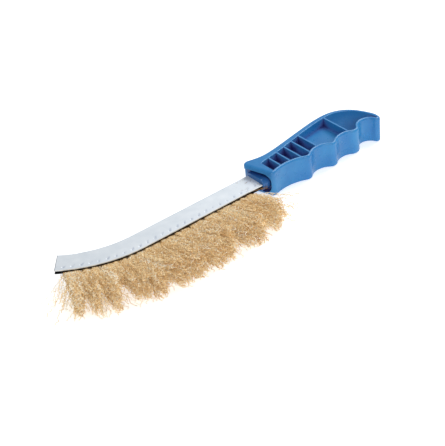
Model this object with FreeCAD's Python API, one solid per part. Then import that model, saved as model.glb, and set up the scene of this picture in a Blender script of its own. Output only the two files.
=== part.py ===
"""Hand wire brush: moulded handle, folded steel back, core wire and crimped wire bundles.

Working frame, in millimetres: the straight back lies along X, with the handle at +X and the tip
at -X. The wires point to -Y, and Z = 0 is the brush's mid-plane. The back, the core wire and the
bundles are first made with the back's open lip on Y = 0, and then moved to Y = BACK_RISE.
At the end everything is moved so that the brush lies on Z = 0 with its footprint centred on X, Y.
"""
import FreeCAD, Part
import math
import os

os.makedirs("parts", exist_ok=True)

V = FreeCAD.Vector
UP = V(0, 0, 1)
CLEAR = 1.0
WIDE = 200.0

# Folded steel back: a U channel, straight and then bent away from the wires
BACK_RISE = 2.1
BACK_HEIGHT = 17.3
BACK_THICKNESS = 2.8
SHEET = 0.6
STRAIGHT_LENGTH = 93.3
BEND_RADIUS = 92.0
BEND_ANGLE = math.radians(39.5)
BACK_LENGTH = STRAIGHT_LENGTH + BEND_RADIUS * BEND_ANGLE
FOLD_RADIUS = 1.2
INNER_FOLD_RADIUS = 0.6
LIP_END_X = 5.0
TANG_END_X = 44.0
TANG_LIP_Y = 3.4

# Staked dimples that pinch the two walls on the wires
DIMPLE_RADIUS = 0.75
DIMPLE_FLOOR_RADIUS = 0.3
DIMPLE_DEPTH = 0.3
DIMPLE_Y = 3.1

# Core wire that every bristle wire is folded over
CORE_RADIUS = 0.5
CORE_Y = 8.2
CORE_END_GAP = 2.0

# Wire bundles
BUNDLES = 24
FILL_START = 6.0
FILL_END = BACK_LENGTH - 5.3
BUNDLE_GAP = 0.2
ROOT_Y = 9.7
ROOT_THICKNESS = 1.5
WIRE_REACH = 36.0
SPLAY_UP = 12.0
TIP_FLARE = 4.0
HANDLE_FLARE = 5.0
CORE_CLEARANCE = 0.05

# Handle
HANDLE_THICKNESS = 19.8
HALF = HANDLE_THICKNESS / 2
FINGER_WALL = 2.2
WEB = 6.4
FRONT_SPINE = (2.6, 24.8)
FRONT_FINGER = (10.8, -2.9)
SPINE_EDGE = [
    (8.8, 23.6), (19.5, 21.4), (30.0, 21.9), (45.0, 24.6), (62.0, 27.9), (83.0, 30.9),
    (93.4, 30.1), (102.4, 25.8), (109.0, 18.4), (113.0, 9.8), (114.6, 3.8),
]
# Spine side of the cells
CELL_SPINE = [
    (10.0, 12.5), (22.0, 15.1), (31.0, 16.6), (39.0, 18.2), (47.5, 20.2), (55.5, 22.0),
    (70.0, 24.9), (84.5, 26.9), (93.0, 26.7), (101.2, 22.9), (107.2, 16.4), (110.6, 9.0),
]
# Finger hollows: x of the deepest point, its y, and the radius
HOLLOWS = [(26.0, 0.7, 34.0), (55.3, 1.0, 13.0), (78.8, 0.9, 12.5), (101.3, 4.7, 8.0)]
PEAK_RADII = [5.0, 5.0, 6.0]
KNOB_RADIUS = 2.8
KNOB_LOW_Y = -2.2
FRONT_CORNER_RADIUS = 4.2
FRONT_ROUNDING = 3.2
OUTER_ROUNDING = 1.5
RIM_ROUNDING = 0.5

# Ribs across the handle, by the x of their middle; the last two bound the long cell
FIRST_CELL_X = 14.5
RIBS_X = [22.2, 30.6, 39.0, 47.4, 55.8, 84.5]
RIB = 1.3

# Recess in the front of the handle, and the block in it that holds the back
RECESS_DEPTH = 3.8
RECESS_WALL = 2.4
RECESS_END_WALL = 2.3
RECESS_CORNER = 5.5
GROOVE = 3.0
END_GROOVE = 2.2
BLOCK_FRONT_X = 5.2
BLOCK_END_X = 14.2
BLOCK_CORNER = 3.8
BLOCK_EDGE = 0.6


def polar(centre, radius, angle):
    return V(centre.x + radius * math.cos(angle), centre.y + radius * math.sin(angle), 0)


def back_band(x_start, y_low, y_high, z_half, past_tip=0.0):
    """Solid between two lines parallel to the lip, from x_start to the tip or a little past it."""
    centre = V(-STRAIGHT_LENGTH, BEND_RADIUS, 0)
    down = -math.pi / 2
    end = down - BEND_ANGLE - past_tip / BEND_RADIUS
    middle = (down + end) / 2
    low = BEND_RADIUS - y_low
    high = BEND_RADIUS - y_high
    low_bend = polar(centre, low, down)
    high_bend = polar(centre, high, down)
    edges = [
        Part.LineSegment(V(x_start, y_low, 0), low_bend),
        Part.Arc(low_bend, polar(centre, low, middle), polar(centre, low, end)),
        Part.LineSegment(polar(centre, low, end), polar(centre, high, end)),
        Part.Arc(polar(centre, high, end), polar(centre, high, middle), high_bend),
        Part.LineSegment(high_bend, V(x_start, y_high, 0)),
        Part.LineSegment(V(x_start, y_high, 0), V(x_start, y_low, 0)),
    ]
    face = Part.Face(Part.Wire([e.toShape() for e in edges]))
    face.translate(V(0, 0, -z_half))
    return face.extrude(UP * (2 * z_half))


def station(s):
    """Point on the lip at distance s towards the tip, with the local along and outward directions."""
    turn = max(0.0, s - STRAIGHT_LENGTH) / BEND_RADIUS
    straight = min(s, STRAIGHT_LENGTH)
    point = V(
        -straight - BEND_RADIUS * math.sin(turn),
        BEND_RADIUS * (1 - math.cos(turn)),
        0,
    )
    along = V(-math.cos(turn), math.sin(turn), 0)
    outward = V(-math.sin(turn), -math.cos(turn), 0)
    return point, along, outward


def spread_at(s, outward_distance):
    """How much wider than at the lip a slice of the bend is, at a distance outside the lip."""
    if s <= STRAIGHT_LENGTH:
        return 1.0
    return (BEND_RADIUS + outward_distance) / BEND_RADIUS


def long_fold_edges(solid, y_fold):
    """The edges that run along the fold, on the straight and on the bend."""
    found = []
    for edge in solid.Edges:
        box = edge.BoundBox
        runs_along = box.XLength > 10 and box.ZLength < 0.01
        middle = edge.valueAt((edge.FirstParameter + edge.LastParameter) / 2)
        turn_centre = V(-STRAIGHT_LENGTH, BEND_RADIUS, 0)
        flat = V(middle.x, middle.y, 0)
        if middle.x < -STRAIGHT_LENGTH:
            height = BEND_RADIUS - (flat - turn_centre).Length
        else:
            height = middle.y
        if runs_along and abs(height - y_fold) < 0.01:
            found.append(edge)
    return found


def make_back():
    outer = back_band(TANG_END_X, 0, BACK_HEIGHT, BACK_THICKNESS / 2)
    outer = outer.makeFillet(FOLD_RADIUS, long_fold_edges(outer, BACK_HEIGHT))
    inner_top = BACK_HEIGHT - SHEET
    inner = back_band(TANG_END_X + CLEAR, -CLEAR, inner_top, BACK_THICKNESS / 2 - SHEET, CLEAR)
    inner = inner.makeFillet(INNER_FOLD_RADIUS, long_fold_edges(inner, inner_top))
    back = outer.cut(inner)
    lips = Part.makeBox(
        TANG_END_X,
        TANG_LIP_Y + CLEAR,
        BACK_THICKNESS + 2 * CLEAR,
        V(LIP_END_X, -CLEAR, -BACK_THICKNESS / 2 - CLEAR),
    )
    back = back.cut(lips)
    dimples = []
    for index in range(BUNDLES + 1):
        point, _, outward = station(FILL_START + index * bundle_pitch())
        place = point - outward * DIMPLE_Y
        for side in (-1, 1):
            base = place + UP * side * (BACK_THICKNESS / 2 - DIMPLE_DEPTH)
            dimples.append(
                Part.makeCone(DIMPLE_FLOOR_RADIUS, DIMPLE_RADIUS, DIMPLE_DEPTH, base, UP * side)
            )
    return back.cut(dimples)


def make_core(radius=CORE_RADIUS):
    """Round wire inside the fold, from near the tip to the end of the lips."""
    start = station(BACK_LENGTH - CORE_END_GAP)
    bend = station(STRAIGHT_LENGTH)
    middle = station((BACK_LENGTH - CORE_END_GAP + STRAIGHT_LENGTH) / 2)
    ends = [p - out * CORE_Y for p, _, out in (start, middle, bend)]
    straight = Part.makeCylinder(
        radius, STRAIGHT_LENGTH + LIP_END_X - CORE_END_GAP, ends[2], V(1, 0, 0)
    )
    centre = V(-STRAIGHT_LENGTH, BEND_RADIUS, 0)
    circle = Part.Face(Part.Wire(Part.makeCircle(radius, ends[2], V(1, 0, 0))))
    swept = (BACK_LENGTH - CORE_END_GAP - STRAIGHT_LENGTH) / BEND_RADIUS
    curved = circle.revolve(centre, V(0, 0, -1), math.degrees(swept))
    return straight.fuse(curved).removeSplitter()


def bundle_pitch():
    return (FILL_END - FILL_START) / BUNDLES


def slice_wire(s, outward_distance, low, high, lean_low, lean_high):
    """Rectangle across a bundle at a distance outside the lip, between z = low and z = high."""
    point, along, outward = station(s)
    half_width = (bundle_pitch() - BUNDLE_GAP) / 2 * spread_at(s, outward_distance)
    centre = point + outward * outward_distance
    corners = [
        centre - along * (half_width + lean_low) + UP * low,
        centre + along * (half_width + lean_high) + UP * low,
        centre + along * (half_width + lean_high) + UP * high,
        centre - along * (half_width + lean_low) + UP * high,
    ]
    return Part.makePolygon(corners + corners[:1])


def make_bundle(index, core_space):
    """Fan of folded wires: a flat root round the core wire, and splayed ends outside the lip."""
    s = FILL_START + (index + 0.5) * bundle_pitch()
    half_root = ROOT_THICKNESS / 2
    lean_low = HANDLE_FLARE if index == 0 else 0
    lean_high = TIP_FLARE if index == BUNDLES - 1 else 0
    root = Part.makeLoft(
        [
            slice_wire(s, -ROOT_Y, -half_root, half_root, 0, 0),
            slice_wire(s, 0, -half_root, half_root, 0, 0),
        ],
        True,
        True,
    )
    fan = Part.makeLoft(
        [
            slice_wire(s, 0, -half_root, half_root, 0, 0),
            slice_wire(s, WIRE_REACH, -HALF, SPLAY_UP, lean_low, lean_high),
        ],
        True,
        True,
    )
    return root.fuse(fan).removeSplitter().cut(core_space)


def peak_centre(first, second, radius):
    """Centre of the circle that touches two hollows' circles from the handle's side."""
    span = second[0] - first[0]
    reach_1 = first[1] + radius
    reach_2 = second[1] + radius
    ahead = (reach_1**2 - reach_2**2 + span.Length**2) / (2 * span.Length)
    rise = math.sqrt(reach_1**2 - ahead**2)
    unit = span / span.Length
    return first[0] + unit * ahead + V(-unit.y, unit.x, 0) * rise


def touch(circle, other):
    """Where two touching circles meet."""
    span = other[0] - circle[0]
    return circle[0] + span * (circle[1] / (circle[1] + other[1]))


def finger_edge(inset):
    """Edges of the grip side from the front to the knob, and the chain's two end points."""
    circles = [(V(x, y - radius, 0), radius) for x, y, radius in HOLLOWS]
    chain = [(circles[0][0], circles[0][1] + inset)]
    for index, radius in enumerate(PEAK_RADII):
        centre = peak_centre(circles[index], circles[index + 1], radius)
        following = circles[index + 1]
        chain.append((centre, radius - inset))
        chain.append((following[0], following[1] + inset))
    last = circles[-1]
    knob_y = KNOB_LOW_Y + KNOB_RADIUS
    reach = last[1] + KNOB_RADIUS
    knob_x = last[0].x + math.sqrt(reach**2 - (knob_y - last[0].y) ** 2)
    chain.append((V(knob_x, knob_y, 0), KNOB_RADIUS - inset))
    front_x = FRONT_FINGER[0] + inset
    front_drop = chain[0][0].x - front_x
    start = V(front_x, chain[0][0].y + math.sqrt(chain[0][1] ** 2 - front_drop**2), 0)
    end = V(knob_x + KNOB_RADIUS - inset, knob_y, 0)
    stops = [start] + [touch(a, b) for a, b in zip(chain, chain[1:])] + [end]
    edges = []
    for (centre, radius), a, b in zip(chain, stops, stops[1:]):
        middle = (a + b) / 2 - centre
        middle = centre + middle * (radius / middle.Length)
        edges.append(Part.Arc(a, middle, b).toShape())
    return edges, start, end


def handle_face(inset, spine_points):
    """Flat area between the grip side, drawn in by an inset, and a smooth curve on the spine side."""
    grip, front_finger, knob_end = finger_edge(inset)
    spine = Part.BSplineCurve()
    spine.interpolate([V(x, y, 0) for x, y in spine_points] + [knob_end])
    front = Part.makeLine(front_finger, spine.StartPoint)
    return Part.Face(Part.Wire(Part.__sortEdges__([front, spine.toShape()] + grip)))


def slab(face, low, high):
    solid = face.copy()
    solid.translate(UP * low)
    return solid.extrude(UP * (high - low))


def front_placement():
    """Placement with its origin in the middle of the front, X into the handle and Y across it."""
    finger = V(*FRONT_FINGER, 0)
    spine = V(*FRONT_SPINE, 0)
    across = spine - finger
    slant = math.degrees(math.atan2(-across.x, across.y))
    return FreeCAD.Placement((finger + spine) / 2, FreeCAD.Rotation(UP, slant))


def handle_shell():
    """The outside of the handle, with its edges rounded and its front rounded further."""
    solid = slab(handle_face(0, [FRONT_SPINE] + SPINE_EDGE), -HALF, HALF)
    corners = [
        e for e in solid.Edges
        if e.BoundBox.ZLength > HANDLE_THICKNESS - 1 and e.BoundBox.XMax < FRONT_FINGER[0] + 1
    ]
    solid = solid.makeFillet(FRONT_CORNER_RADIUS, corners)
    flat = [e for e in solid.Edges if e.BoundBox.ZLength < 0.01]
    solid = solid.makeFillet(OUTER_ROUNDING, flat)
    envelope = Part.makeBox(WIDE, WIDE, HANDLE_THICKNESS, V(0, -WIDE / 2, -HALF))
    front_edges = [
        e for e in envelope.Edges if e.BoundBox.YLength > WIDE - 1 and e.BoundBox.XMax < 1
    ]
    envelope = envelope.makeFillet(FRONT_ROUNDING, front_edges)
    envelope.Placement = front_placement()
    return solid.common(envelope).Solids[0]


def cell_spans():
    """x where each cell starts and ends, from the front to the hanging hole."""
    starts = [FIRST_CELL_X] + [x + RIB / 2 for x in RIBS_X]
    ends = [x - RIB / 2 for x in RIBS_X] + [WIDE]
    return list(zip(starts, ends))


def cell(inner, span, low, high):
    """Part of the inner area between two x, from z = low to z = high."""
    low_x, high_x = span
    window = Part.makeBox(high_x - low_x, WIDE, WIDE, V(low_x, -WIDE / 2, -WIDE / 2))
    return slab(inner, low, high).common(window)


def make_handle(back):
    inner = handle_face(FINGER_WALL, CELL_SPINE)
    spans = cell_spans()
    outside = HALF + CLEAR
    hollows = [cell(inner, spans[-1], -outside, outside)]
    for span in spans[:-1]:
        hollows.append(cell(inner, span, WEB / 2, outside))
        hollows.append(cell(inner, span, -outside, -WEB / 2))
    handle = round_rims(handle_shell().cut(hollows))
    return handle.cut(front_recess()).fuse(front_block()).cut(back)


def round_rims(handle):
    """Break the sharp edges where the cells meet the two flat faces."""
    rims = []
    for face in handle.Faces:
        box = face.BoundBox
        if box.ZLength > 0.01 or abs(abs(box.ZMin) - HALF) > 0.01:
            continue
        for wire in face.Wires:
            if not wire.isSame(face.OuterWire):
                rims += wire.Edges
    return handle.makeFillet(RIM_ROUNDING, rims)


def front_recess():
    """Pocket inside the rim of the handle's front."""
    width = (V(*FRONT_SPINE, 0) - V(*FRONT_FINGER, 0)).Length
    pocket = rounded_bar(
        -RECESS_DEPTH, RECESS_DEPTH, width / 2 - RECESS_END_WALL, HALF - RECESS_WALL, RECESS_CORNER
    )
    pocket.Placement = front_placement()
    return pocket


def front_block():
    """Block in the pocket that holds the back, with its front square to the back."""
    half_width = (FRONT_SPINE[1] - FRONT_FINGER[1]) / 2 - RECESS_END_WALL - END_GROOVE
    half_thickness = HALF - RECESS_WALL - GROOVE
    block = rounded_bar(BLOCK_FRONT_X, BLOCK_END_X, half_width, half_thickness, BLOCK_CORNER)
    front_edges = [e for e in block.Edges if e.BoundBox.XMax < BLOCK_FRONT_X + 0.01]
    block = block.makeFillet(BLOCK_EDGE, front_edges)
    block.translate(V(0, (FRONT_SPINE[1] + FRONT_FINGER[1]) / 2, 0))
    return block


def rounded_bar(x_low, x_high, y_half, z_half, corner):
    """Bar along X with its four long edges rounded."""
    bar = Part.makeBox(x_high - x_low, 2 * y_half, 2 * z_half, V(x_low, -y_half, -z_half))
    long_edges = [e for e in bar.Edges if e.BoundBox.XLength > x_high - x_low - 0.01]
    return bar.makeFillet(corner, long_edges)


def export(shapes):
    """Move everything onto Z = 0, centred on X and Y, and write one file for each node."""
    whole = FreeCAD.BoundBox()
    for shape in shapes.values():
        whole.add(shape.optimalBoundingBox(False))
    shift = V(-whole.Center.x, -whole.Center.y, HALF)
    print("moved by", shift)
    for name, shape in shapes.items():
        placed = shape.copy()
        placed.translate(shift)
        placed.exportStep("parts/" + name + ".step")


def only_solid(shape):
    """The one solid that a piece has to be, checked and with its surfaces merged."""
    if len(shape.Solids) != 1:
        raise ValueError("a piece must be one solid")
    return shape.Solids[0].removeSplitter()


def main():
    shapes = {"back_channel": make_back(), "core_wire": make_core()}
    core_space = make_core(CORE_RADIUS + CORE_CLEARANCE)
    for index in range(BUNDLES):
        shapes["wire_bundle_%02d" % (index + 1)] = make_bundle(index, core_space)
    for shape in shapes.values():
        shape.translate(V(0, BACK_RISE, 0))
    shapes["handle"] = make_handle(shapes["back_channel"])
    solids = {name: only_solid(shape) for name, shape in shapes.items()}
    for name, solid in solids.items():
        print(name, solid.isValid(), round(solid.Volume, 1))
    export(solids)


main()
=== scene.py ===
import bpy
import math
import numpy as np
from mathutils import Matrix, Vector


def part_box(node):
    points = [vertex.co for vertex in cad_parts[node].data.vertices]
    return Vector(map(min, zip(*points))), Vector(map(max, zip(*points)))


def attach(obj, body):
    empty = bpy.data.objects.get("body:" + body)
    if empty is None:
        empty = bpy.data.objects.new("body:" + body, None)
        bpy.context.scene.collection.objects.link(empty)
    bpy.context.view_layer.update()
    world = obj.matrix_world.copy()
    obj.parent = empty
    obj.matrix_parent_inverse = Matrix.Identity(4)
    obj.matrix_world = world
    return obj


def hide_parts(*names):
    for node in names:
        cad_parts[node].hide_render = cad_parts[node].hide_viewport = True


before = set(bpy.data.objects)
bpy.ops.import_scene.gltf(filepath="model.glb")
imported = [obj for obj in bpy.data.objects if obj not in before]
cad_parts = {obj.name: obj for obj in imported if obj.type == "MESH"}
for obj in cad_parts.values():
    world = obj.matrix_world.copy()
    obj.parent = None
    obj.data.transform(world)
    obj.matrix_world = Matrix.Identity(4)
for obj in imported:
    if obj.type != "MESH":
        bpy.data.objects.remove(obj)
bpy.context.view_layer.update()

MM = 0.001

# Zero of the design's working frame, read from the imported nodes: the back's tang ends TANG beyond
# it, the back's lip is BACK_RISE above it, and it lies on the handle's mid-plane.
TANG = 44.0 * MM
BACK_RISE = 2.1 * MM
back_low, back_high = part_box("back_channel")
handle_low, handle_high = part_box("handle")
ZERO = Vector((back_high[0] - TANG, back_low[1] - BACK_RISE, (handle_low[2] + handle_high[2]) / 2))
LIP = ZERO + Vector((0, BACK_RISE, 0))

# The back's line, as in the design
BACK_HEIGHT = 17.3
BACK_HALF = 1.4
SHEET = 0.6
STRAIGHT = 93.3
BEND_RADIUS = 92.0
BEND_ANGLE = math.radians(39.5)
BACK_LENGTH = STRAIGHT + BEND_RADIUS * BEND_ANGLE
FILL_START = 6.0
FILL_END = BACK_LENGTH - 5.3
BUNDLES = 24
PITCH = (FILL_END - FILL_START) / BUNDLES

# Edges of the recess in the handle's front, in mm from the zero, for its painted shade: beyond the first
# number of each pair the plastic isn't darkened, and from the second number inwards it is
RECESS_LEVEL = (6.4, 5.6)
RECESS_AHEAD = (14.3, 13.8)
RECESS_OUTER = (0.0, 0.8)
RECESS_SPINE = (22.0, 21.2)

# Wires, in millimetres: their make, the crimps and slow bends along them, and how far outside the
# lip they run flat before they rise or fall
SEED = 41
WIRES_PER_BUNDLE = 180
WIRE_RADIUS = 0.18
WIRE_STEPS = 84
WIRE_SIDES = 3
WIRE_LENGTH = 39.0
LONGEST = 46.0
ROOT_DEPTH = 2.5
ROOT_LOW = -0.6
ROOT_HIGH = 0.15
ROOT_FLAT = 1.2
CRIMP_LENGTH = 3.5
CRIMP_DEPTH = 0.78
WANDER = 0.6
CRIMP_START = 0.6
CRIMP_FADE = 2.5
ROOT_CRIMP = 0.12
WANDER_START = 6.0
WANDER_LENGTHS = (8.0, 15.0)
FLOOR_GAP = 0.2
# Loose wire ends between the lip and the handle: number, start, length, slope outwards, rise, shade
LOOSE_ENDS = 7
LOOSE_START = (-3.0, 0.6)
LOOSE_LENGTHS = (8.0, 13.5)
LOOSE_SLOPES = (-0.20, 0.0)
LOOSE_RISES = (-0.30, 0.02)
LOOSE_TINTS = (0.04, 0.20)
# Rise of a wire for each millimetre outside the lip: more for wires that leave the back high up
ROOT_MIDDLE = 0.2
RISE_PER_HEIGHT = 0.65
MEAN_RISE = 0.03
RISE_SPREAD = 0.09
LOWEST_RISE = -0.26
HIGHEST_RISE = 0.31
# Lean along the row, and curl, which grows with the square of the distance outside the lip
LEAN_SPREAD = 0.040
CURL = 0.0010
CURL_UP = 0.0016
# How much shorter or longer single wires are: at random, high up in the row, and low down
MEAN_SHORTFALL = 2.6
SHORTER_ABOVE = 6.0
UNEVEN_BELOW = 0.8
LONGEST_SPREAD = 2.0
# Strays: their share, more of them at the handle's end, their spread, and their lean at both ends
STRAY_SHARE = 0.08
EXTRA_STRAYS = 0.16
STRAY_SPREAD = 0.18
STRAY_LEAN = 0.48
STRAY_FADE = 5.0
STRAYS_TO_HANDLE = 0.7
STRAY_LENGTHS = (-2.0, 6.0)
STRAY_TIP_LOSS = 7.0
STRAY_CURL = 0.005
# Shades of the wires, from 0 for dark to 1 for light, and how far the painted shade on the roots shows,
# in mm
MEAN_TINT = 0.56
TINT_SPREAD = 0.21
DARKEST_TINT = 0.26
# Painted glint and shade: each wire is drawn lighter and darker in step with its crimps
CRIMP_PAINTED_GLINT = 0.18
TIP_TINT = 0.12
TIP_TINT_FADE = 20.0
ROOT_SHADE = (0.8, 2.4)
# Painted shade at the roots reaches further out between the bundles, and swells and shrinks in blotches
# along the row
ROOT_GAP = 1.1
GAP_SHADE = 6.0
BLOTCH_TURNS = (0.86, 0.37)
BLOTCH_LOW = 0.5
BLOTCH_HEIGHT = 1.2
# Small locks of wires: their widths along the back, how much they gather at the tips, and how
# much shorter or longer they are
LOCK_WIDTHS = (2.0, 5.0)
LOCK_LENGTHS = (-5.0, 1.0)
LOCK_MIXING = 0.7
GATHER = 0.72
GATHER_POWER = 1.7
# Lean of the row's two ends towards the handle, and over what distance it fades
TIP_END_LEAN = 0.36
TIP_END_FADE = 11.0
HANDLE_END_LEAN = 0.02
HANDLE_END_FADE = 7.0
# Where the row parts: distance along the back, how far the tips lean apart, over what width, and
# how much shorter the wires are there. The tips part most, and less for the wires on top.
PARTING_POWER = 3
CLOSER_ABOVE = 0.6
PARTINGS = [
    (141.5, 0.27, 3.6, 13.0), (131.0, 0.22, 3.2, 11.0), (120.5, 0.27, 4.5, 13.0), (109.0, 0.07, 3.0, 4.0),
    (98.5, 0.13, 3.5, 8.0), (86.0, 0.06, 3.0, 4.0), (73.0, 0.13, 3.5, 9.0), (58.0, 0.05, 3.0, 4.0),
    (44.0, 0.15, 3.5, 10.0), (33.0, 0.04, 3.0, 4.0), (22.0, 0.07, 3.5, 6.0),
]
# Where each tuft starts along the back, and how much longer than usual its wires are
TUFTS = [
    (6.0, 0.0), (22.0, 2.5), (44.0, 5.0), (58.0, 6.0), (73.0, 6.0), (86.0, 5.5),
    (98.5, 5.0), (109.0, 3.0), (120.5, 4.0), (131.0, 4.0), (141.5, 7.0),
]

# Camera, from the straight back's zero, in millimetres and degrees
CAMERA_AZIMUTH = -35.05
CAMERA_ELEVATION = 35.29
CAMERA_ROLL = -6.03
CAMERA_DISTANCE = 862.7
CAMERA_AIM = (-41.2, -11.6, 0.0)
CAMERA_LENS = 105.1

# Lights: place in metres, size and watts of the two softboxes, an even sky, and a floor that
# glows a little so that it stays white
SOFTBOX = ((0.95, 0.35, 1.15), 0.9, 13.0)
FRONT_LIGHT = ((-0.4, -1.2, 0.9), 0.8, 9.0)
WORLD_STRENGTH = 0.50
FLOOR_GLOW = 0.45
FLOOR_HALF = 3.0
# Light passed on from wire to wire inside the bristles, beyond the bounces that are traced
WIRE_GLOW = 0.06


def link(obj):
    bpy.context.scene.collection.objects.link(obj)
    return obj


# ---------------------------------------------------------------- materials

class Nodes:
    """Short calls for building a node material."""

    def __init__(self, name):
        self.material = bpy.data.materials.new(name)
        self.material.use_nodes = True
        self.tree = self.material.node_tree
        self.shader = self.tree.nodes["Principled BSDF"]

    def add(self, kind, **values):
        node = self.tree.nodes.new(kind)
        for key, value in values.items():
            if key in node.inputs:
                node.inputs[key].default_value = value
            else:
                setattr(node, key, value)
        return node

    def join(self, source, target):
        self.tree.links.new(source, target)

    def coordinates(self, scale=(1, 1, 1)):
        place = self.add("ShaderNodeTexCoord")
        mapping = self.add("ShaderNodeMapping")
        mapping.inputs["Scale"].default_value = scale
        self.join(place.outputs["Object"], mapping.inputs["Vector"])
        return mapping.outputs["Vector"]

    def noise(self, vector, scale, detail=3.0, roughness=0.5):
        node = self.add("ShaderNodeTexNoise", Scale=scale, Detail=detail, Roughness=roughness)
        self.join(vector, node.inputs["Vector"])
        return node.outputs["Fac"]

    def ramp(self, factor, stops):
        node = self.add("ShaderNodeValToRGB")
        elements = node.color_ramp.elements
        while len(elements) < len(stops):
            elements.new(0.5)
        for element, (position, colour) in zip(elements, stops):
            element.position = position
            element.color = (*colour, 1.0)
        self.join(factor, node.inputs["Fac"])
        return node.outputs["Color"]

    def range(self, factor, low, high):
        node = self.add("ShaderNodeMapRange")
        node.inputs["To Min"].default_value = low
        node.inputs["To Max"].default_value = high
        self.join(factor, node.inputs["Value"])
        return node.outputs["Result"]

    def mix(self, factor, first, second):
        node = self.add("ShaderNodeMix", data_type="RGBA")
        self.join(factor, node.inputs["Factor"])
        self.join(first, node.inputs["A"])
        self.join(second, node.inputs["B"])
        return node.outputs["Result"]

    def plain(self, colour):
        node = self.add("ShaderNodeRGB")
        node.outputs["Color"].default_value = (*colour, 1.0)
        return node.outputs["Color"]

    def distance(self, vector, origin, direction):
        """How far a place lies beyond a plane."""
        offset = self.add("ShaderNodeVectorMath", operation="SUBTRACT")
        offset.inputs[1].default_value = origin
        self.join(vector, offset.inputs[0])
        along = self.add("ShaderNodeVectorMath", operation="DOT_PRODUCT")
        along.inputs[1].default_value = direction
        self.join(offset.outputs["Vector"], along.inputs[0])
        return along.outputs["Value"]

    def openness(self, reach):
        """1 out in the open and lower down in the hollows of the same piece."""
        node = self.add("ShaderNodeAmbientOcclusion", only_local=True, samples=8, Distance=reach)
        return node.outputs["AO"]

    def thinness(self, reach):
        """0 on thick stock and higher on thin walls and outer edges."""
        node = self.add("ShaderNodeAmbientOcclusion", only_local=True, inside=True, samples=8,
                        Distance=reach)
        return self.math("SUBTRACT", 1.0, node.outputs["AO"])

    def facing(self):
        """Upward part of the surface's direction."""
        parts = self.add("ShaderNodeSeparateXYZ")
        self.join(self.add("ShaderNodeNewGeometry").outputs["Normal"], parts.inputs["Vector"])
        return parts.outputs["Z"]

    def math(self, operation, *values):
        node = self.add("ShaderNodeMath", operation=operation)
        for socket, value in zip(node.inputs, values):
            if isinstance(value, (int, float)):
                socket.default_value = value
            else:
                self.join(value, socket)
        return node.outputs["Value"]

    def absolute(self, value):
        return self.math("ABSOLUTE", value)

    def window(self, value, off, on):
        """0 where the value is off, 1 where it is on, and a short slope between."""
        node = self.add("ShaderNodeMapRange")
        node.inputs["From Min"].default_value = off
        node.inputs["From Max"].default_value = on
        self.join(value, node.inputs["Value"])
        return node.outputs["Result"]

    def bump(self, height, strength, distance):
        node = self.add("ShaderNodeBump", Strength=strength, Distance=distance)
        self.join(height, node.inputs["Height"])
        self.join(node.outputs["Normal"], self.shader.inputs["Normal"])


def plastic_material():
    made = Nodes("handle_blue_plastic")
    where = made.coordinates()
    patches = made.noise(where, 70.0, 4.0, 0.6)
    colour = made.ramp(patches, [(0.3, (0.014, 0.160, 0.430)), (0.7, (0.030, 0.222, 0.495))])
    # Painted shade: the plastic is drawn dark violet-blue in the cells and other hollows, where little
    # light reaches
    open_sky = made.openness(8.0 * MM)
    hollow = made.ramp(open_sky, [(0.30, (0.026, 0.028, 0.165)), (0.50, (0.085, 0.175, 0.470))])
    colour = made.mix(made.window(open_sky, 0.46, 0.70), hollow, colour)
    level = made.math("DIVIDE", made.absolute(made.distance(where, ZERO, (0, 0, 1))), MM)
    ahead = made.math("DIVIDE", made.distance(where, ZERO, (1, 0, 0)), MM)
    beside = made.math("DIVIDE", made.distance(where, ZERO, (0, 1, 0)), MM)
    # Painted shade: the plastic in the front recess is drawn darker, as if in the recess's shadow
    recess_painted_shade = made.math("MULTIPLY", made.window(level, *RECESS_LEVEL), made.window(ahead, *RECESS_AHEAD))
    recess_painted_shade = made.math("MULTIPLY", recess_painted_shade, made.math(
        "MULTIPLY", made.window(beside, *RECESS_OUTER), made.window(beside, *RECESS_SPINE)))
    colour = made.mix(made.math("MULTIPLY", recess_painted_shade, 0.75), colour, made.plain((0.010, 0.075, 0.280)))
    # Painted highlight: thin upward-facing rims and edges are drawn light blue, as if catching the light
    # on their rounded edges
    rim_painted_highlight = made.math("MULTIPLY", made.window(made.thinness(1.4 * MM), 0.25, 0.60),
                    made.window(made.absolute(made.facing()), 0.5, 0.8))
    colour = made.mix(made.math("MULTIPLY", rim_painted_highlight, 0.9), colour, made.plain((0.130, 0.350, 0.700)))
    made.join(colour, made.shader.inputs["Base Color"])
    made.join(made.range(made.noise(where, 220.0), 0.22, 0.36), made.shader.inputs["Roughness"])
    made.shader.inputs["Specular IOR Level"].default_value = 0.42
    made.bump(made.noise(where, 500.0, 2.0), 0.10, 0.0001)
    return made.material


def back_places(made, where):
    """How far along the back from its zero, and how far above its lip, a place lies, in mm."""
    offset = made.add("ShaderNodeVectorMath", operation="SUBTRACT")
    offset.inputs[1].default_value = LIP + Vector((-STRAIGHT, BEND_RADIUS, 0)) * MM
    made.join(where, offset.inputs[0])
    parts = made.add("ShaderNodeSeparateXYZ")
    made.join(offset.outputs["Vector"], parts.inputs["Vector"])
    bent_x = made.math("MINIMUM", parts.outputs["X"], 0.0)
    straight_x = made.math("MAXIMUM", parts.outputs["X"], 0.0)
    radius = made.math("SQRT", made.math(
        "ADD", made.math("POWER", bent_x, 2.0), made.math("POWER", parts.outputs["Y"], 2.0)))
    height = made.math("SUBTRACT", BEND_RADIUS, made.math("DIVIDE", radius, MM))
    turn = made.math("ARCTAN2", made.math("MULTIPLY", bent_x, -1.0),
                     made.math("MULTIPLY", parts.outputs["Y"], -1.0))
    bent = made.math("MULTIPLY", turn, BEND_RADIUS)
    straight = made.math("SUBTRACT", STRAIGHT, made.math("DIVIDE", straight_x, MM))
    return made.math("ADD", bent, straight), height


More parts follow.
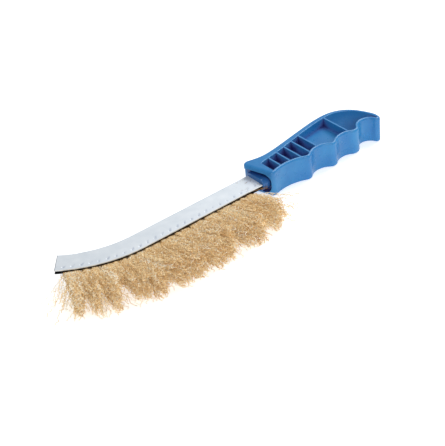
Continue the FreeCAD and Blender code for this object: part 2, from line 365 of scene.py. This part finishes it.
def steel_material():
    """Bright sheet with a row of nicks drawn in painted shade, brownish mottling towards the handle, a
    dark grey tip end, a painted highlight along the top lip, and painted shade inside the fold and at the
    lower lip.
    """
    made = Nodes("back_galvanised_steel")
    where = made.coordinates()
    along, height = back_places(made, where)
    spangle = made.noise(where, 120.0, 3.0, 0.5)
    colour = made.ramp(spangle, [(0.3, (0.68, 0.74, 0.80)), (0.7, (0.76, 0.81, 0.86))])
    level = made.math("DIVIDE", made.distance(where, ZERO, (0, 0, 1)), MM)

    # Painted shade: slanted blue-grey strokes drawn where the stamped nicks dent the sheet
    step = made.math("FRACT", made.math("DIVIDE", made.math(
        "SUBTRACT", made.math("SUBTRACT", along, FILL_START - PITCH / 2),
        made.math("MULTIPLY", height, -0.55)), PITCH))
    stroke = made.window(made.absolute(made.math("SUBTRACT", step, 0.62)), 0.20, 0.06)
    low = made.window(height, 1.2, 2.6)
    high = made.window(height, 5.6, 4.0)
    broken = made.window(made.noise(where, 230.0, 2.0), 0.38, 0.56)
    nick_painted_shade = made.math("MULTIPLY", made.math("MULTIPLY", stroke, broken),
                     made.math("MULTIPLY", low, high))
    colour = made.mix(made.math("MULTIPLY", nick_painted_shade, 0.5), colour, made.plain((0.34, 0.40, 0.54)))

    # Brownish mottling on the sheet, fading out over the 16 mm nearest the handle
    mottle_noise = made.noise(made.coordinates((0.5, 1.0, 1.0)), 420.0, 4.0, 0.65)
    brown_mottle = made.math("MULTIPLY", made.window(mottle_noise, 0.57, 0.66), made.window(along, 16.0, 0.0))
    colour = made.mix(made.math("MULTIPLY", brown_mottle, 0.7), colour, made.plain((0.33, 0.29, 0.27)))

    tip = made.window(along, BACK_LENGTH - 0.5, BACK_LENGTH - 0.25)
    colour = made.mix(tip, colour, made.plain((0.16, 0.17, 0.20)))
    # Painted highlight: a cream line along the rounded edge of the top lip
    top_lip_painted_highlight = made.math("MULTIPLY", made.window(height, 0.5, 0.2), made.window(level, 0.9, 1.1))
    colour = made.mix(made.math("MULTIPLY", top_lip_painted_highlight, 0.6), colour, made.plain((0.80, 0.76, 0.68)))
    # Painted shade: inside the fold and along the lower lip the sheet is drawn near black, with less
    # metal and shine, where shade falls in the slot
    slot_half = BACK_HALF - SHEET
    low_lip_painted_shade = made.math("MULTIPLY", made.window(height, 0.5, 0.3), made.window(level, 0.7, 0.5))
    inside = made.math("MULTIPLY", made.window(made.absolute(level), slot_half + 0.06, slot_half + 0.02),
                       made.window(height, BACK_HEIGHT - SHEET + 0.1, BACK_HEIGHT - SHEET))
    dark = made.math("MAXIMUM", low_lip_painted_shade, inside)
    colour = made.mix(dark, colour, made.plain((0.012, 0.011, 0.012)))
    made.join(colour, made.shader.inputs["Base Color"])
    outside_painted_shade = made.math("SUBTRACT", 1.0, dark)
    made.join(made.math("MULTIPLY", outside_painted_shade, 0.45), made.shader.inputs["Metallic"])
    made.join(made.math("MULTIPLY", outside_painted_shade, 0.5), made.shader.inputs["Specular IOR Level"])
    streaks = made.noise(made.coordinates((0.05, 1, 1)), 900.0, 3.0)
    made.join(made.range(streaks, 0.34, 0.48), made.shader.inputs["Roughness"])
    made.bump(streaks, 0.10, 0.0001)
    return made.material


def core_material():
    made = Nodes("core_steel_wire")
    where = made.coordinates((0.2, 1, 1))
    drawn = made.noise(where, 1200.0, 2.0)
    made.join(made.ramp(drawn, [(0.3, (0.42, 0.43, 0.44)), (0.7, (0.58, 0.59, 0.60))]),
              made.shader.inputs["Base Color"])
    made.shader.inputs["Metallic"].default_value = 1.0
    made.join(made.range(drawn, 0.3, 0.45), made.shader.inputs["Roughness"])
    return made.material


def wire_material():
    made = Nodes("bristle_brass_coated_wire")
    tint = made.add("ShaderNodeAttribute", attribute_name="tint").outputs["Fac"]
    colour = made.ramp(tint, [
        (0.0, (0.020, 0.012, 0.006)),
        (0.12, (0.16, 0.09, 0.04)),
        (0.26, (0.66, 0.42, 0.19)),
        (0.40, (0.88, 0.63, 0.32)),
        (0.65, (0.97, 0.77, 0.46)),
        (0.85, (1.0, 0.89, 0.66)),
        (1.0, (1.0, 0.97, 0.88)),
    ])
    made.join(colour, made.shader.inputs["Base Color"])
    made.join(colour, made.shader.inputs["Emission Color"])
    made.shader.inputs["Emission Strength"].default_value = WIRE_GLOW
    made.shader.inputs["Metallic"].default_value = 0.2
    made.shader.inputs["Specular IOR Level"].default_value = 0.3
    made.shader.inputs["Specular Tint"].default_value = (1.0, 0.84, 0.60, 1.0)
    worn = made.noise(made.coordinates(), 700.0, 2.0)
    made.join(made.range(worn, 0.3, 0.5), made.shader.inputs["Roughness"])
    return made.material


def floor_material():
    made = Nodes("studio_floor")
    patches = made.noise(made.coordinates(), 3.0, 2.0)
    colour = made.ramp(patches, [(0.3, (0.90, 0.90, 0.90)), (0.7, (0.92, 0.92, 0.92))])
    made.join(colour, made.shader.inputs["Base Color"])
    made.shader.inputs["Roughness"].default_value = 0.9
    made.shader.inputs["Specular IOR Level"].default_value = 0.1
    made.shader.inputs["Emission Color"].default_value = (1.0, 1.0, 1.0, 1.0)
    made.shader.inputs["Emission Strength"].default_value = FLOOR_GLOW
    return made.material


# ---------------------------------------------------------------- bristles

def stations(s):
    """Lip points, and the directions along the back and out of it, for distances s in mm."""
    turn = np.maximum(s - STRAIGHT, 0.0) / BEND_RADIUS
    straight = np.minimum(s, STRAIGHT)
    flat = np.zeros_like(turn)
    point = np.stack(
        [-straight - BEND_RADIUS * np.sin(turn), BEND_RADIUS * (1 - np.cos(turn)), flat], -1
    )
    along = np.stack([-np.cos(turn), np.sin(turn), flat], -1)
    outward = np.stack([-np.sin(turn), -np.cos(turn), flat], -1)
    return point, along, outward


def make_locks(random):
    """The row's small locks: where each starts, and how its wires lean, rise and end."""
    starts = [FILL_START]
    while starts[-1] < FILL_END - LOCK_WIDTHS[0]:
        starts.append(starts[-1] + random.uniform(*LOCK_WIDTHS))
    starts = np.array(starts[:-1])
    count = len(starts)
    return {
        "start": starts,
        "middle": (starts + np.append(starts[1:], FILL_END)) / 2,
        "lean": random.normal(0.0, 0.035, count),
        "rise": random.normal(0.0, 0.03, count),
        "length": random.uniform(*LOCK_LENGTHS, count),
    }


def parting_lean(s):
    """Lean along the row that opens the gaps between the tufts."""
    lean = np.zeros_like(s)
    for centre, strength, width, _ in PARTINGS:
        away = (s - centre) / width
        lean += strength * np.sign(away) * np.exp(-np.abs(away))
    return lean


def tuft_length(s):
    """How much longer than usual a wire is in its tuft, less what it lacks beside a parting."""
    starts, extra = np.array(TUFTS).T
    length = extra[np.clip(np.searchsorted(starts, s, "right") - 1, 0, len(starts) - 1)]
    for centre, _, width, notch in PARTINGS:
        length = length - notch * np.exp(-((s - centre) / (0.7 * width)) ** 2)
    return length


def end_lean(s):
    """Both ends of the row lean towards the handle, and the tip's end much the more."""
    to_handle = np.exp(-(s - FILL_START) / HANDLE_END_FADE)
    to_tip = np.exp((s - FILL_END) / TIP_END_FADE)
    return -TIP_END_LEAN * to_tip - HANDLE_END_LEAN * to_handle


def wire_bends(s, locks, random):
    """Each wire's lock, lean, rise, length and curls, and the height at which it leaves the back."""
    count = len(s)
    lock = np.searchsorted(locks["start"], s + random.normal(0.0, LOCK_MIXING, count), "right") - 1
    lock = np.clip(lock, 0, len(locks["start"]) - 1)
    near_handle = np.exp(-(s - FILL_START) / HANDLE_END_FADE)
    stray = random.random(count) < STRAY_SHARE + EXTRA_STRAYS * near_handle
    at_ends = np.exp((s - FILL_END) / STRAY_FADE)
    at_ends = at_ends - STRAYS_TO_HANDLE * np.exp(-(s - FILL_START) / STRAY_FADE)
    lean = end_lean(s) + locks["lean"][lock]
    lean += random.normal(0.0, LEAN_SPREAD, count)
    lean += np.where(stray, random.normal(0.0, STRAY_SPREAD, count) + STRAY_LEAN * at_ends, 0.0)

    root_z = random.uniform(ROOT_LOW, ROOT_HIGH, count)
    rise = (root_z + ROOT_MIDDLE) * RISE_PER_HEIGHT + MEAN_RISE + locks["rise"][lock]
    rise = rise + random.normal(0.0, RISE_SPREAD, count)
    rise = np.clip(rise, LOWEST_RISE, HIGHEST_RISE)
    below = np.clip(rise / LOWEST_RISE, 0.0, 1.0)
    above = np.clip(rise / HIGHEST_RISE, 0.0, 1.0)

    length = WIRE_LENGTH + tuft_length(s) + locks["length"][lock] * (1 + UNEVEN_BELOW * below)
    length -= random.exponential(MEAN_SHORTFALL, count) + SHORTER_ABOVE * above * random.random(count)
    shorter_at_tip = STRAY_TIP_LOSS * np.maximum(at_ends, 0.0)
    length += np.where(stray, random.uniform(*STRAY_LENGTHS, count) - shorter_at_tip, 0.0)
    length = np.minimum(length, LONGEST - LONGEST_SPREAD * random.random(count))
    curl_along = random.normal(0.0, np.where(stray, STRAY_CURL, CURL), count)
    curl_up = random.normal(0.0, CURL_UP, count)
    return {
        "middle": locks["middle"][lock], "lean": lean, "root_z": root_z, "rise": rise, "above": above,
        "reach": length / np.sqrt(1 + lean**2 + rise**2), "curl_along": curl_along, "curl_up": curl_up,
    }


def wire_drift(s, d, bends, random):
    """How far each wire strays along the back and up, at distances d outside the lip."""
    free = np.maximum(d, 0.0)
    gather = (bends["middle"] - s)[:, None] * GATHER * (free / WIRE_LENGTH) ** GATHER_POWER
    apart = parting_lean(bends["middle"]) * WIRE_LENGTH * (1 - CLOSER_ABOVE * bends["above"])
    apart = apart[:, None] * (free / WIRE_LENGTH) ** PARTING_POWER
    sideways = bends["lean"][:, None] * free + bends["curl_along"][:, None] * free**2 + gather + apart
    climb = np.maximum(d - ROOT_FLAT, 0.0)
    lift = bends["root_z"][:, None] + bends["rise"][:, None] * climb
    lift = lift + bends["curl_up"][:, None] * climb**2
    loose = np.clip(d / WANDER_START, 0.0, 1.0)
    for shift in (sideways, lift):
        turns = 2 * math.pi / random.uniform(*WANDER_LENGTHS, len(s))
        shift += WANDER * loose * np.sin(turns[:, None] * d + random.uniform(0, 6.28, len(s))[:, None])
    return sideways, lift


def wire_crimps(d, random):
    """Plane, height and angle of each wire's crimps at distances d outside the lip."""
    count = len(d)
    plane = random.uniform(0.0, math.pi, count)
    phase = random.uniform(0.0, 2 * math.pi, count)
    wave_length = CRIMP_LENGTH * random.uniform(0.8, 1.25, count)
    depth = CRIMP_DEPTH * random.uniform(0.6, 1.25, count)
    ramp = np.clip((d - CRIMP_START) / CRIMP_FADE, ROOT_CRIMP, 1.0)
    angle = 2 * math.pi * d / wave_length[:, None] + phase[:, None]
    wave = depth[:, None] * ramp * (np.sin(angle) + 0.35 * np.sin(1.63 * angle + 2.0))
    return plane, wave, angle


def wire_tint(s, start, d, angle, random):
    """Shade of each wire: lighter towards the row's tip, and drawn dark as painted shade where it leaves
    the back.
    """
    count = len(s)
    tint = np.clip(random.normal(MEAN_TINT, TINT_SPREAD, count), 0.12, 1.0)[:, None]
    tip_tint = TIP_TINT * np.exp((s - FILL_END) / TIP_TINT_FADE)
    # Painted glint and shade along the crimps
    tint = tint + CRIMP_PAINTED_GLINT * np.sin(angle + 1.0) + tip_tint[:, None]
    # Painted shade where the wires leave the back, standing in for the shadow under the lip
    between = np.exp(-((np.mod(s - start + PITCH / 2, PITCH) - PITCH / 2) / ROOT_GAP) ** 2)
    painted_root_shade_end = random.uniform(*ROOT_SHADE, count) + GAP_SHADE * between * random.random(count)
    painted_root_shade_end = painted_root_shade_end[:, None]
    shade_blotches = 0.5 + 0.5 * np.sin(s * BLOTCH_TURNS[0] + 2.0 * np.sin(s * BLOTCH_TURNS[1]))
    painted_root_shade_end = painted_root_shade_end * (BLOTCH_LOW + BLOTCH_HEIGHT * shade_blotches)[:, None]
    return np.clip(tint, DARKEST_TINT, 1.0) * np.clip(d / painted_root_shade_end, 0.0, 1.0) ** 1.5


def wire_paths(index, locks, random):
    """Centre lines of one bundle's wires, as wires, steps and three coordinates, and their tint."""
    start = FILL_START + index * PITCH
    s = start + PITCH * random.random(WIRES_PER_BUNDLE)
    point, along, outward = stations(s)
    up = np.array([0.0, 0.0, 1.0])
    bends = wire_bends(s, locks, random)
    t = np.linspace(0.0, 1.0, WIRE_STEPS)[None, :]
    d = -ROOT_DEPTH + (bends["reach"][:, None] + ROOT_DEPTH) * t
    sideways, lift = wire_drift(s, d, bends, random)
    plane, wave, angle = wire_crimps(d, random)
    across = np.cos(plane)[:, None] * along + np.sin(plane)[:, None] * up
    path = (
        point[:, None, :]
        + outward[:, None, :] * d[..., None]
        + along[:, None, :] * sideways[..., None]
        + up * lift[..., None]
        + across[:, None, :] * wave[..., None]
    )
    floor = -(ZERO[2] / MM) + FLOOR_GAP + WIRE_RADIUS
    path[..., 2] = np.maximum(path[..., 2], floor)
    normal = -np.sin(plane)[:, None] * along + np.cos(plane)[:, None] * up
    return path, normal, wire_tint(s, start, d, angle, random)


def loose_ends(random):
    """Short wire ends that stick out of the back towards the handle's front, drawn with a dark tint."""
    t = np.linspace(0.0, 1.0, WIRE_STEPS)[None, :]
    reach = random.uniform(*LOOSE_LENGTHS, LOOSE_ENDS)[:, None]
    slope = random.uniform(*LOOSE_SLOPES, LOOSE_ENDS)[:, None]
    rise = random.uniform(*LOOSE_RISES, LOOSE_ENDS)[:, None]
    bend = random.uniform(-1.0, 1.0, LOOSE_ENDS)[:, None]
    x = LOOSE_START[0] + reach * t
    y = LOOSE_START[1] + slope * reach * t + 0.25 * np.sin(x * 2 * math.pi / CRIMP_LENGTH + 3.0 * bend)
    z = rise * reach * t + 0.8 * bend * t**2
    path = np.stack([x, y, z], -1)
    normal = np.tile([0.0, 0.0, 1.0], (LOOSE_ENDS, 1))
    tint = np.broadcast_to(random.uniform(*LOOSE_TINTS, LOOSE_ENDS)[:, None], x.shape)
    return path, normal, tint


def tubes(path, normal):
    """Vertices and faces of a thin tube round each centre line."""
    wires, steps, _ = path.shape
    tangent = np.gradient(path, axis=1)
    tangent /= np.linalg.norm(tangent, axis=-1, keepdims=True)
    first = np.cross(tangent, np.broadcast_to(normal[:, None, :], path.shape))
    first /= np.linalg.norm(first, axis=-1, keepdims=True)
    second = np.cross(tangent, first)
    rings = []
    for side in range(WIRE_SIDES):
        angle = 2 * math.pi * side / WIRE_SIDES
        rings.append(path + WIRE_RADIUS * (math.cos(angle) * first + math.sin(angle) * second))
    vertices = np.stack(rings, axis=2).reshape(-1, 3)
    wire = np.arange(wires)[:, None, None] * steps * WIRE_SIDES
    step = np.arange(steps - 1)[None, :, None] * WIRE_SIDES
    side = np.arange(WIRE_SIDES)[None, None, :]
    following = (side + 1) % WIRE_SIDES
    base = wire + step
    quads = np.stack(
        [base + side, base + following, base + WIRE_SIDES + following, base + WIRE_SIDES + side],
        axis=-1,
    ).reshape(-1, 4)
    first_ring = np.arange(wires)[:, None] * steps * WIRE_SIDES + np.arange(WIRE_SIDES)[None, ::-1]
    last_ring = (
        np.arange(wires)[:, None] * steps * WIRE_SIDES
        + (steps - 1) * WIRE_SIDES
        + np.arange(WIRE_SIDES)[None, :]
    )
    return vertices, quads, np.concatenate([first_ring, last_ring])


def bristle_mesh(name, path, normal, tint):
    vertices, quads, caps = tubes(path, normal)
    vertices = vertices * MM + np.array(LIP)
    mesh = bpy.data.meshes.new(name)
    loops = np.concatenate([quads.ravel(), caps.ravel()])
    sizes = np.concatenate([np.full(len(quads), 4), np.full(len(caps), WIRE_SIDES)])
    mesh.vertices.add(len(vertices))
    mesh.vertices.foreach_set("co", vertices.ravel())
    mesh.loops.add(len(loops))
    mesh.loops.foreach_set("vertex_index", loops.astype(np.int32))
    mesh.polygons.add(len(sizes))
    starts = np.concatenate([[0], np.cumsum(sizes)[:-1]])
    mesh.polygons.foreach_set("loop_start", starts.astype(np.int32))
    mesh.polygons.foreach_set("use_smooth", np.ones(len(sizes), dtype=bool))
    mesh.update(calc_edges=True)
    attribute = mesh.attributes.new("tint", "FLOAT", "POINT")
    attribute.data.foreach_set("value", np.repeat(tint.ravel(), WIRE_SIDES).astype(np.float32))
    return mesh


def make_bristles(material):
    random = np.random.default_rng(SEED)
    locks = make_locks(random)
    for index in range(BUNDLES):
        number = "%02d" % (index + 1)
        wires = wire_paths(index, locks, random)
        if index == 0:
            wires = [np.concatenate(pair) for pair in zip(wires, loose_ends(random))]
        path, normal, tint = wires
        mesh = bristle_mesh("bristles_" + number, path, normal, tint)
        mesh.materials.append(material)
        piece = link(bpy.data.objects.new("bristles_" + number, mesh))
        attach(piece, "root")
        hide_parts("wire_bundle_" + number)


# ---------------------------------------------------------------- carried-over nodes

def dress(node, material):
    """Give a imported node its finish."""
    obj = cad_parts[node]
    if isinstance(obj, str):
        obj = bpy.data.objects[obj]
    for slot in obj.material_slots:
        slot.material = material
    if not obj.material_slots:
        obj.data.materials.append(material)


# ---------------------------------------------------------------- stage, lights and camera

def make_floor():
    mesh = bpy.data.meshes.new("studio_floor")
    half = FLOOR_HALF
    corners = [(-half, -half, 0), (half, -half, 0), (half, half, 0), (-half, half, 0)]
    mesh.from_pydata(corners, [], [(0, 1, 2, 3)])
    mesh.materials.append(floor_material())
    floor = link(bpy.data.objects.new("studio_floor", mesh))


def make_light(name, place, size, watts):
    data = bpy.data.lights.new(name, "AREA")
    data.shape = "DISK"
    data.size = size
    data.energy = watts
    light = link(bpy.data.objects.new(name, data))
    light.location = place
    light.rotation_mode = "QUATERNION"
    light.rotation_quaternion = (-Vector(place)).to_track_quat("-Z", "Y")


def make_world():
    world = bpy.data.worlds.new("studio")
    world.use_nodes = True
    sky = world.node_tree.nodes["Background"]
    sky.inputs["Color"].default_value = (1.0, 1.0, 1.0, 1.0)
    sky.inputs["Strength"].default_value = WORLD_STRENGTH
    bpy.context.scene.world = world


def make_camera():
    data = bpy.data.cameras.new("camera")
    data.lens = CAMERA_LENS
    data.sensor_width = 36.0
    data.clip_start = 0.01
    data.clip_end = 20.0
    camera = link(bpy.data.objects.new("camera", data))
    azimuth = math.radians(CAMERA_AZIMUTH)
    elevation = math.radians(CAMERA_ELEVATION)
    roll = math.radians(CAMERA_ROLL)
    back = Vector((
        math.sin(azimuth) * math.cos(elevation),
        -math.cos(azimuth) * math.cos(elevation),
        math.sin(elevation),
    ))
    right = Vector((0, 0, 1)).cross(back).normalized()
    up = back.cross(right)
    rolled_right = math.cos(roll) * right + math.sin(roll) * up
    rolled_up = -math.sin(roll) * right + math.cos(roll) * up
    turn = Matrix((rolled_right, rolled_up, back)).transposed()
    place = ZERO + Vector(CAMERA_AIM) * MM + back * CAMERA_DISTANCE * MM
    camera.matrix_world = Matrix.Translation(place) @ turn.to_4x4()
    bpy.context.scene.camera = camera


def main():
    bpy.context.scene.view_settings.view_transform = "Standard"
    dress("handle", plastic_material())
    dress("back_channel", steel_material())
    dress("core_wire", core_material())
    make_bristles(wire_material())
    make_floor()
    make_world()
    make_light("softbox", *SOFTBOX)
    make_light("front", *FRONT_LIGHT)
    make_camera()


main()
